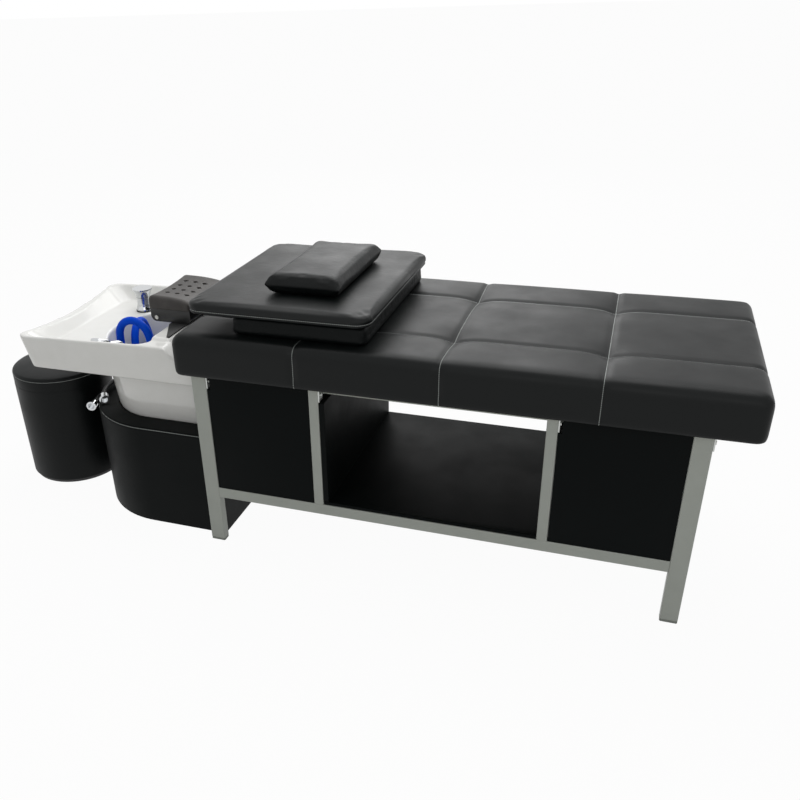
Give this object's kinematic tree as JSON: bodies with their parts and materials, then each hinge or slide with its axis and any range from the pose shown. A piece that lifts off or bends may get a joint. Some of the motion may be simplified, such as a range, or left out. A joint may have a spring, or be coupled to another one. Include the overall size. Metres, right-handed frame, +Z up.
{
  "type": "hair washing bed",
  "caption": "Padded salon bed on a steel frame with a leatherette pedestal, deep ceramic basin, neck rest, mixer, hand shower, loose booster, pillow and round stool.",
  "frame": {"origin": "on the floor, in the middle of the whole outline", "axes": "+X from the basin and stool to the foot end of the bed, -Y the long side that faces the room, +Z up"},
  "size_m": [2.054, 0.6, 0.7366],
  "materials": {
    "leatherette": "satin, fine grain, sewn",
    "steel_frame": "satin silver-grey powder coat",
    "zinc_steel": "zinc plated",
    "glazed_ceramic": "gloss white glaze",
    "black_rubber": "matte",
    "gel_rubber": "soft satin",
    "black_plastic": "matte",
    "white_plastic": "matte",
    "chrome": "polished",
    "stainless": "brushed",
    "blue_hose": "satin",
    "plywood": "unfinished"
  },
  "bodies": {
    "bed": {"mattress": "leatherette", "panel_head_near": "leatherette", "panel_head_far": "leatherette", "panel_foot_near": "leatherette", "panel_foot_far": "leatherette", "panel_head_end": "leatherette", "panel_foot_end": "leatherette", "shelf_board": "leatherette", "divider_head": "leatherette", "divider_foot": "leatherette", "pedestal_shell": "leatherette", "pedestal_top": "leatherette", "mattress_board": "plywood", "pedestal_base": "plywood", "basin_cradle": "plywood", "cradle_posts": "plywood", "leg_caps": "black_plastic", "neck_rest_base": "black_plastic", "leg_head_near": "steel_frame", "leg_head_far": "steel_frame", "leg_foot_near": "steel_frame", "leg_foot_far": "steel_frame", "post_head_near": "steel_frame", "post_head_far": "steel_frame", "post_foot_near": "steel_frame", "post_foot_far": "steel_frame", "lower_side_rails": "steel_frame", "upper_side_rails": "steel_frame", "lower_cross_rails": "steel_frame", "upper_cross_rails": "steel_frame", "basin_rail": "steel_frame", "board_brackets": "zinc_steel", "bracket_screws": "zinc_steel", "basin": "glazed_ceramic", "drain_trap": "white_plastic", "drain_nut": "white_plastic", "drain_flange": "stainless", "neck_saddle": "black_rubber", "mixer_gasket": "black_rubber", "supply_hose_cold": "black_rubber", "supply_hose_hot": "black_rubber", "mixer_body": "chrome", "mixer_nut": "chrome", "hand_shower": "chrome", "hose_ferrule": "chrome", "supply_nut_cold": "chrome", "supply_nut_hot": "chrome", "spray_face": "black_plastic", "shower_hose": "blue_hose"},
    "neck_rest": {"neck_rest_shell": "black_plastic", "neck_rest_pad": "gel_rubber", "neck_rest_screws": "stainless"},
    "mixer_knob": {"mixer_knob": "chrome"},
    "strainer": {"drain_strainer": "stainless"},
    "booster": {"booster_block": "leatherette", "booster_pad": "leatherette"},
    "pillow": {"pillow": "leatherette"},
    "stool": {"stool_base": "black_plastic", "stool_shell": "leatherette", "stool_seat": "leatherette"}
  },
  "joints": [
    {"name": "neck_rest_tilt", "type": "hinge", "parent": "bed", "child": "neck_rest", "pos_m": [-0.454, 0, 0.566], "axis": [0, -1, 0], "range_deg": [0, 20]},
    {"name": "mixer_turn", "type": "hinge", "parent": "bed", "child": "mixer_knob", "pos_m": [-0.644, 0.133, 0.533], "axis": [0, 0, 1], "range_deg": [-60, 60]},
    {"name": "strainer_lift", "type": "slide", "parent": "bed", "child": "strainer", "axis": [0, 0, 1], "range_m": [0, 0.06]},
    {"name": "booster_lift", "type": "slide", "parent": "bed", "child": "booster", "axis": [0, 0, 1], "range_m": [0, 0.25]},
    {"name": "pillow_lift", "type": "slide", "parent": "booster", "child": "pillow", "axis": [0, 0, 1], "range_m": [0, 0.2]},
    {"name": "stool_out", "type": "slide", "parent": "bed", "child": "stool", "axis": [-1, 0, 0], "range_m": [0, 0.4]}
  ]
}
